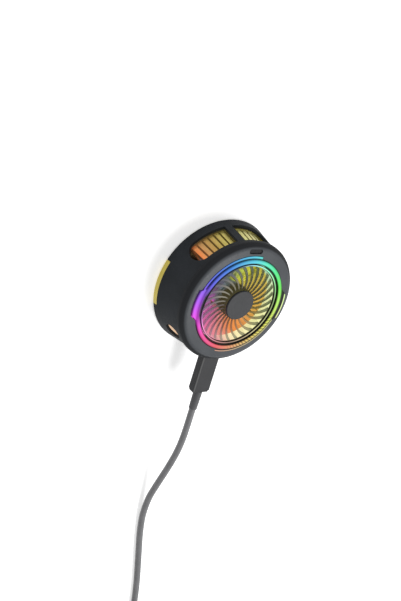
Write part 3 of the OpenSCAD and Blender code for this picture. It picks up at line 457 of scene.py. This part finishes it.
# The blades: the ring's light painted on them as tints, and the painted highlight and shade of their front edges at the
# outer ends and near the hub
BLADE_COLOURS = [(0.0, "#66705a"), (0.1, "#6a7056"), (0.2, "#5c6a4c"), (0.3, "#5c6a58"), (0.42, "#6c6c6e"),
                 (0.52, "#84707c"), (0.62, "#a87688"), (0.72, "#a08480"), (0.8, "#6c6a58"), (0.9, "#686c58"),
                 (1.0, "#66705a")]
EDGE_COLOURS = [(0.0, "#48582c"), (0.12, "#3c461c"), (0.21, "#444c34"), (0.29, "#4c5658"), (0.43, "#605868"),
                (0.51, "#7c5c78"), (0.58, "#8c4c74"), (0.66, "#947078"), (0.74, "#908c70"), (0.85, "#84825c"),
                (1.0, "#48582c")]
ROOT_COLOURS = [(0.0, "#303408"), (0.1, "#1c1a06"), (0.21, "#242012"), (0.29, "#787460"), (0.45, "#8c887c"),
                (0.51, "#5c5254"), (0.57, "#30181c"), (0.66, "#54281c"), (0.75, "#845234"), (0.86, "#9c7c50"),
                (0.94, "#786418"), (1.0, "#303408")]
VEIL = [(0.0, "#fafafa"), (0.25, "#fafafa"), (0.38, "#e0e0e0"), (0.52, "#e0e0e0"), (0.64, "#f8f8f8"), (1.0, "#fafafa")]
# Radii in millimetres and heights in metres, each pair from where one look ends to where the next is whole
HUB_WALL_R, BLADE_R, ROOT_R = (6.9, 7.0), (8.0, 16.5), (11.5, 16)
HUB_FOOT_Z = 0.0160, 0.0156
BLADE_TOP = 0.0207
CLEAR_Z = BLADE_TOP - 0.0004, BLADE_TOP - 0.0007
FRONT_EDGE = 0.75, 0.98  # how far a front edge faces up
FRONT_CLEAR = 0.1  # how much is seen through it


def smoked_polycarbonate(name):
    """Clear polycarbonate, moulded thin, smoked along its front edges and hardly to be seen deeper down. The edges
    carry a painted highlight on the left and painted shade elsewhere, with the ring's light painted on as tints towards
    their outer ends, and the hub's wall is solid, with a painted glow, brown above and grey at its foot."""
    material, tree = blank(name)
    turn, radius, height = around(tree), from_axis(tree), above_floor(tree)
    hue = add(tree, "ValToRGB", [turn], BLADE_COLOURS)[0]
    facing = add(tree, "SeparateXYZ", [add(tree, "NewGeometry")["True Normal"]])["Z"]
    on_edge = add(tree, "MapRange", [facing, *FRONT_EDGE])[0]
    outwards = add(tree, "MapRange", [radius, *BLADE_R])[0]

    tinted = add(tree, "MapRange", [outwards, 0, 1, 0.1, 0.9])[0]
    # The body takes the ring's light, painted on as tints, outwards from the hub
    body = add(tree, "Mix", {0: tinted, 6: linear("#4c4630"), 7: hue}, data_type="RGBA")[2]
    past_root = add(tree, "MapRange", [radius, *ROOT_R])[0]
    # The front edges' colours round the turn: painted highlight on the left, painted shade elsewhere
    root = add(tree, "ValToRGB", [turn], ROOT_COLOURS)[0]
    end = add(tree, "ValToRGB", [turn], EDGE_COLOURS)[0]
    edge = add(tree, "Mix", {0: past_root, 6: root, 7: end}, data_type="RGBA")[2]

    # The hub wall's painted glow: brown above, grey at its foot
    at_foot = add(tree, "MapRange", [height, *HUB_FOOT_Z])[0]
    hub_wall_glow = add(tree, "Mix", {0: at_foot, 6: linear("#5c5634"), 7: linear("#8c9698")}, data_type="RGBA")[2]
    glow = add(tree, "Mix", {0: outwards, 6: hub_wall_glow, 7: hue}, data_type="RGBA")[2]
    less_on_edge = add(tree, "MapRange", [on_edge, 0, 1, 0, 0.86])[0]
    glow = add(tree, "Mix", {0: less_on_edge, 6: glow, 7: linear(BLACK)}, data_type="RGBA")[2]
    spot = add(tree, "NewGeometry")["Position"]
    grain = add(tree, "TexNoise", {"Vector": spot, "Scale": per_mm(1.5), "Detail": 2})[0]
    smoked = add(tree, "BsdfPrincipled", {
        "Base Color": add(tree, "Mix", {0: on_edge, 6: body, 7: edge}, data_type="RGBA")[2],
        "Emission Color": glow, "Emission Strength": 0.35,
        "Roughness": 0.35, "IOR": 1.5, "Specular IOR Level": 0.1,
        "Normal": add(tree, "Bump", {"Height": grain, "Distance": 0.02 * MM, "Strength": 0.3})[0]})[0]

    deep = add(tree, "MapRange", [height, *CLEAR_Z])[0]
    veil = add(tree, "ValToRGB", [turn], VEIL)[0]
    seen_through = add(tree, "Mix", {0: deep, 2: FRONT_CLEAR, 3: veil})[0]
    off_hub = add(tree, "MapRange", [radius, *HUB_WALL_R])[0]
    seen_through = add(tree, "Mix", {0: off_hub, 2: 0.0, 3: seen_through})[0]
    clear = add(tree, "BsdfTransparent", {"Color": linear("#fdfcfa")})[0]
    return surface(material, add(tree, "MixShader", [seen_through, smoked, clear])[0])


# The heat sink: its fins in the windows, the light painted on them there and below the blades, and where the two part,
# by radius in millimetres and by height in metres
# Fin tints round the turn, partly painted light, with painted shade, nearly black, at a window's left end
FIN_COLOURS = [(0.24, "#b0b070"), (0.30, "#a09850"), (0.335, "#94783c"), (0.36, "#a4764a"), (0.381, "#d06a36"),
               (0.384, "#0c0a08"), (0.41, "#0c0a08"), (0.42, "#b08a48")]
# Painted glow on the fins in the windows, black in the same shade, with a painted highlight at a vent
FIN_LIGHT = [(0.0, "#2a2010"), (0.30, "#403a20"), (0.36, "#54442a"), (0.381, "#5c4028"), (0.384, BLACK), (0.41, BLACK),
             (0.42, "#2a2010"), (0.605, "#2a2010"), (0.62, "#e8ccb0"), (0.655, "#e8ccb0"), (0.67, "#2a2010")]
INNER_LIGHT = [(0.0, "#f8d468"), (0.06, "#f0dc68"), (0.12, "#f8f84c"), (0.18, "#d8ec60"), (0.25, "#5c6c70"),
               (0.42, "#685e78"), (0.55, "#c070cc"), (0.62, "#ff74ec"), (0.7, "#ff84c4"), (0.76, "#ffa0a0"),
               (0.82, "#ff9c54"), (0.88, "#f8ac60"), (0.94, "#fccc60"), (1.0, "#f8d468")]
PATCHY = [(0.05, BLACK), (0.1, WHITE), (0.22, WHITE), (0.27, BLACK)]
SINK_INNER_R, SINK_INNER_Z = (20.5, 21.5), (0.0055, 0.0075)
DRAWN_LENGTH = 0.08  # how little a drawn line changes along the fins


def anodised_gold(name):
    """Aluminium, extruded and anodised gold: satin metal with drawn lines along the fins, 0.35 mm apart, coppery
    towards one side, partly as painted light from the ring, and painted shade, nearly black, at a window's left end.
    The ring's light is painted on as a glow, faint in the windows with a painted highlight at a vent, and bright below
    the blades, where the base colour is darkened as painted shade and dark patches lie above on the right."""
    material, tree = blank(name)
    turn = around(tree)
    spot = add(tree, "NewGeometry")["Position"]
    clouds = add(tree, "TexNoise", {"Vector": spot, "Scale": per_mm(3.5), "Detail": 3})[0]
    clouds = add(tree, "MapRange", [clouds, 0.3, 0.8, 0, 0.3])[0]
    tint = add(tree, "ValToRGB", [turn], FIN_COLOURS)[0]
    tint = add(tree, "Mix", {0: clouds, 6: tint, 7: linear("#c8a468")}, data_type="RGBA")[2]
    stretched = add(tree, "Mapping", {"Vector": spot, "Scale": (1, 1, DRAWN_LENGTH)})[0]
    drawn = add(tree, "TexNoise", {"Vector": stretched, "Scale": per_mm(0.35), "Detail": 2})[0]

    lit = add(tree, "ValToRGB", [turn], INNER_LIGHT)[0]
    patches = add(tree, "TexNoise", {"Vector": spot, "Scale": per_mm(2.2), "Detail": 2})[0]
    patches = add(tree, "MapRange", [patches, 0.4, 0.62, 0, 0.75])[0]
    patched = add(tree, "Mix", {0: patches, 6: lit, 7: linear("#5a5c24")}, data_type="RGBA")[2]
    patchy = add(tree, "ValToRGB", [turn], PATCHY)[0]
    lit = add(tree, "Mix", {0: patchy, 6: lit, 7: patched}, data_type="RGBA")[2]

    within = add(tree, "MapRange", [from_axis(tree), *SINK_INNER_R, 1, 0])[0]
    over = add(tree, "MapRange", [above_floor(tree), *SINK_INNER_Z])[0]
    inner = add(tree, "Math", [within, over], operation="MULTIPLY")[0]
    outer_light = add(tree, "ValToRGB", [turn], FIN_LIGHT)[0]
    # Below the blades the base colour is darkened as painted shade
    darker = add(tree, "MapRange", [inner, 0, 1, 0, 0.8])[0]
    shader = add(tree, "BsdfPrincipled", {
        "Base Color": add(tree, "Mix", {0: darker, 6: tint, 7: linear(BLACK)}, data_type="RGBA")[2],
        "Metallic": 1.0, "Roughness": add(tree, "MapRange", [drawn, LOW, HIGH, 0.3, 0.46])[0],
        "Emission Color": add(tree, "Mix", {0: inner, 6: outer_light, 7: lit}, data_type="RGBA")[2],
        "Emission Strength": 0.8,
        "Normal": add(tree, "Bump", {"Height": drawn, "Distance": 0.02 * MM, "Strength": 0.4})[0]})[0]
    return surface(material, shader)


TOOL_FEED = 0.6


def turned_aluminium(name):
    """Aluminium, faced on a lathe: fine rings about the axis, 0.6 mm apart here so that they show."""
    material, tree = blank(name)
    spot = add(tree, "NewGeometry")["Position"]
    rings = add(tree, "Math", [from_axis(tree), TURN / TOOL_FEED], operation="MULTIPLY")[0]
    rings = add(tree, "Math", [rings], operation="SINE")[0]
    clouds = add(tree, "TexNoise", {"Vector": spot, "Scale": per_mm(8), "Detail": 3})[0]
    smears = add(tree, "TexNoise", {"Vector": spot, "Scale": per_mm(4), "Detail": 3})[0]
    shader = add(tree, "BsdfPrincipled", {
        "Base Color": add(tree, "ValToRGB", [clouds], [(LOW, "#b4b8bd"), (HIGH, "#cdd1d5")])[0],
        "Metallic": 1.0, "Roughness": add(tree, "MapRange", [smears, LOW, HIGH, 0.24, 0.36])[0],
        "Normal": add(tree, "Bump", {"Height": rings, "Distance": 0.01 * MM, "Strength": 0.5})[0]})[0]
    return surface(material, shader)


def plain_metal(name, pale, dark, roughness):
    """Plated or bare metal, rolled, drawn or sintered: faint cloudiness and small scratches."""
    material, tree = blank(name)
    spot = add(tree, "NewGeometry")["Position"]
    clouds = add(tree, "TexNoise", {"Vector": spot, "Scale": per_mm(2.5), "Detail": 4})[0]
    smears = add(tree, "TexNoise", {"Vector": spot, "Scale": per_mm(0.8), "Detail": 4})[0]
    scratches = add(tree, "TexNoise", {"Vector": spot, "Scale": per_mm(0.5), "Detail": 4})[0]
    shader = add(tree, "BsdfPrincipled", {
        "Base Color": add(tree, "ValToRGB", [clouds], [(LOW, dark), (HIGH, pale)])[0],
        "Metallic": 1.0,
        "Roughness": add(tree, "MapRange", [smears, LOW, HIGH, roughness - 0.06, roughness + 0.06])[0],
        "Normal": add(tree, "Bump", {"Height": scratches, "Distance": 0.01 * MM, "Strength": 0.4})[0]})[0]
    return surface(material, shader)


def solder_mask(name):
    """Glass-fibre board under green solder mask: satin, with the copper tracks as a faint raised pattern, its rows 1 mm
    apart."""
    material, tree = blank(name)
    tracks = add(tree, "TexBrick", {
        "Vector": add(tree, "NewGeometry")["Position"], "Scale": per_mm(4), "Mortar Size": 0.03,
        "Color1": linear("#1d5638"), "Color2": linear("#1a4d33"), "Mortar": linear("#2f7a4f")})
    shader = add(tree, "BsdfPrincipled", {
        "Base Color": tracks["Color"], "Roughness": 0.35, "IOR": 1.52,
        "Normal": add(tree, "Bump", {"Height": tracks["Fac"], "Distance": 0.03 * MM, "Strength": 0.5})[0]})[0]
    return surface(material, shader)


STRAND = 0.2
WAVE_FACTOR = 20  # a wave pattern multiplies its place by this


def wound_copper(name):
    """Enamelled copper wire, wound close: bright strands of 0.2 mm side by side, drawn six times as coarse so that they
    show."""
    material, tree = blank(name)
    strands = add(tree, "TexWave", {
        "Vector": add(tree, "NewGeometry")["Position"], "Scale": per_mm(STRAND) / WAVE_FACTOR,
        "Distortion": 0.0}, bands_direction="Z")["Fac"]
    shader = add(tree, "BsdfPrincipled", {
        "Base Color": add(tree, "ValToRGB", [strands], [(0.0, "#7a3d20"), (1.0, "#c87a48")])[0],
        "Metallic": 1.0, "Roughness": 0.32,
        "Normal": add(tree, "Bump", {"Height": strands, "Distance": 0.05 * MM, "Strength": 0.6})[0]})[0]
    return surface(material, shader)


def woven_tape(name):
    """Hook-and-loop tape: woven nylon, matte, with a nap of small loops, 0.5 mm apart."""
    material, tree = blank(name)
    spot = add(tree, "NewGeometry")["Position"]
    loops = add(tree, "TexVoronoi", {"Vector": spot, "Scale": per_mm(0.5)})["Distance"]
    shader = add(tree, "BsdfPrincipled", {
        "Base Color": add(tree, "ValToRGB", [loops], [(0.0, "#3a3b3e"), (0.6, "#232426")])[0],
        "Roughness": 0.85, "Sheen Weight": 0.4, "Sheen Roughness": 0.4,
        "Normal": add(tree, "Bump", {"Height": loops, "Distance": 0.15 * MM, "Strength": 0.8})[0]})[0]
    return surface(material, shader)


def lit_amber(name):
    """Opal polycarbonate lit amber from within: glossy, with a soft and slightly uneven glow."""
    material, tree = blank(name)
    spot = add(tree, "NewGeometry")["Position"]
    clouds = add(tree, "TexNoise", {"Vector": spot, "Scale": per_mm(6), "Detail": 2})[0]
    grain = add(tree, "TexNoise", {"Vector": spot, "Scale": per_mm(1), "Detail": 2})[0]
    colour = add(tree, "ValToRGB", [clouds], [(LOW, "#b4a23c"), (HIGH, "#c0ae4a")])[0]
    shader = add(tree, "BsdfPrincipled", {
        "Base Color": colour, "Emission Color": colour, "Emission Strength": 0.35, "Roughness": 0.3, "IOR": 1.58,
        "Normal": add(tree, "Bump", {"Height": grain, "Distance": 0.02 * MM, "Strength": 0.3})[0]})[0]
    return surface(material, shader)


# Radii of the cover's rim, darkened as painted shade
COVER_SHADED_RIM = 25.9, 26.6
finishes = {
    moulded_abs("cover_abs", "#4b4e52", "#43464a", 0.42, 0.17, rim=COVER_SHADED_RIM): ["front_cover"],
    moulded_abs("shell_abs", "#2f3236", "#282b2e", 0.65, 0.1): ["body_shell"],
    moulded_abs("tray_abs", "#2c2e31", "#242629", 0.55): ["rear_cover"],
    # The motor base has the ring's light painted on as a faint glow
    moulded_abs("motor_abs", "#b4b4bc", "#a0a0a8", 0.5, lit="#4c5658"): ["motor_base"],
    moulded_abs("hub_abs", "#303134", "#2a2b2d", 0.42, 0.15): ["hub_cap", "rotor_hub"],
    moulded_abs("button_abs", "#1e1e20", "#18181a", 0.5, 0.1): ["mode_button"],
    # The plugs' ridges carry a painted highlight
    moulded_abs("plug_abs", "#363638", "#303032", 0.46, 0.12, ridge="#6a6a6a"): ["plug_body", "far_plug_body"],
    moulded_abs("relief_tpe", "#5c5c5e", "#545456", 0.5, 0.15): ["strain_relief", "far_strain_relief"],
    moulded_abs("chip_epoxy", "#2a2a2c", "#222224", 0.5): ["board_parts", "temp_sensor", "button_switch", "usb_tongue"],
    moulded_abs("washer_nylon", "#e4e0d4", "#d8d4c6", 0.45): ["thrust_washer"],
    moulded_abs("fired_alumina", "#f0eee8", "#e2dfd6", 0.6): ["tec_hot_plate", "tec_cold_plate"],
    moulded_abs("diode_plastic", "#f4f0e2", "#e6dcae", 0.35): ["leds"],
    soft_rubber("contact_silicone", "#26272a", "#1d1e20", 0.7): ["contact_skin"],
    soft_rubber("insulating_foam", "#2c2d30", "#1c1d1f", 0.85, 1.2): ["insulation_foam"],
    soft_rubber("heat_pad", "#bfc9d0", "#aab6be", 0.6): ["thermal_pad"],
    soft_rubber("cord_tpe", "#747476", "#68686a", 0.5): [cord],
    lit_polycarbonate("ring_polycarbonate"): ["light_ring"],
    lit_duct("duct_polycarbonate"): ["fan_duct"],
    lit_amber("rear_polycarbonate"): ["rear_light_ring"],
    smoked_polycarbonate("blade_polycarbonate"): ["blade_wheel"],
    anodised_gold("sink_gold"): ["heat_sink"],
    turned_aluminium("plate_aluminium"): ["cold_plate"],
    plain_metal("magnet_nickel", "#c8cacc", "#b2b4b7", 0.25): ["magnets"],
    plain_metal("rolled_steel", "#a2a6aa", "#8a8e92", 0.35): ["magnet_yoke", "case_screws", "rotor_yoke", "rotor_shaft",
                                                             "stator_core"],
    plain_metal("drawn_steel", "#c2c5c8", "#aeb1b5", 0.22): ["usb_socket", "plug_shell", "far_plug_shell"],
    plain_metal("sintered_bronze", "#b98e50", "#9a7440", 0.45): ["bearing_sleeve"],
    plain_metal("pellet_telluride", "#6c6f74", "#55585d", 0.4): ["tec_pellets"],
    moulded_abs("bonded_ferrite", "#3a3b3e", "#2c2d2f", 0.6): ["rotor_magnet"],
    wound_copper("coil_copper"): ["stator_coils"],
    solder_mask("board_green"): ["light_board", "motor_board", "control_board"],
    woven_tape("strap_tape"): [tie],
}
for material, wearers in finishes.items():
    for wearer in wearers:
        data = (nodes[wearer] if isinstance(wearer, str) else wearer).data
        data.materials.clear()
        data.materials.append(material)


# Floor, light and background, in metres

FLOOR_HALF, FLOOR_DROP = 3, 0.0001


def shows_background(tree):
    """1 for the rays that show the floor and the room as a background: the camera's own, and those off gloss or through
    clear pieces."""
    ray = add(tree, "LightPath")
    seen = add(tree, "Math", [ray["Is Camera Ray"], ray["Is Transmission Ray"]], operation="MAXIMUM")[0]
    return add(tree, "Math", [seen, ray["Is Glossy Ray"]], operation="MAXIMUM")[0]


def white_floor():
    """White paper, lifted to a white background where it is seen, which keeps the object's shadow."""
    data = bpy.data.meshes.new("floor")
    corners = [(x * FLOOR_HALF, y * FLOOR_HALF, 0) for x, y in ((-1, -1), (1, -1), (1, 1), (-1, 1))]
    data.from_pydata(corners, [], [(0, 1, 2, 3)])
    floor = bpy.data.objects.new("floor", data)
    floor.location.z = -FLOOR_DROP
    bpy.context.scene.collection.objects.link(floor)
    material, tree = blank("white_paper")
    paper = add(tree, "BsdfDiffuse", {"Color": linear("#f4f4f4")})[0]
    lift = add(tree, "Emission", {"Color": linear(WHITE), "Strength": 0.5})[0]
    lifted = add(tree, "AddShader", [paper, lift])[0]
    data.materials.append(surface(material, add(tree, "MixShader", [shows_background(tree), paper, lifted])[0]))


def white_room():
    world = bpy.data.worlds.new("room")
    bpy.context.scene.world = world
    world.use_nodes = True
    tree = world.node_tree
    tree.nodes.clear()
    light = add(tree, "Background", {"Color": linear(WHITE), "Strength": 0.4})[0]
    backdrop = add(tree, "Background", {"Color": linear(WHITE), "Strength": 1.0})[0]
    room = add(tree, "MixShader", [shows_background(tree), light, backdrop])[0]
    add(tree, "OutputWorld", {"Surface": room})


def lamp(name, at, towards, size, watts):
    data = bpy.data.lights.new(name, "AREA")
    data.shape = "DISK"
    data.size = size
    data.energy = watts
    made = bpy.data.objects.new(name, data)
    made.location = at
    made.rotation_euler = (Vector(towards) - Vector(at)).to_track_quat("-Z", "Y").to_euler()
    bpy.context.scene.collection.objects.link(made)


white_floor()
white_room()
lamp("key", at=(0.3, -0.2, 0.65), towards=(0, 0, 0.01), size=0.4, watts=4)
lamp("fill", at=(-0.55, 0.3, 0.5), towards=(0, -0.05, 0.01), size=0.4, watts=0.6)
bpy.context.scene.view_settings.view_transform = "Standard"

bpy.context.view_layer.update()
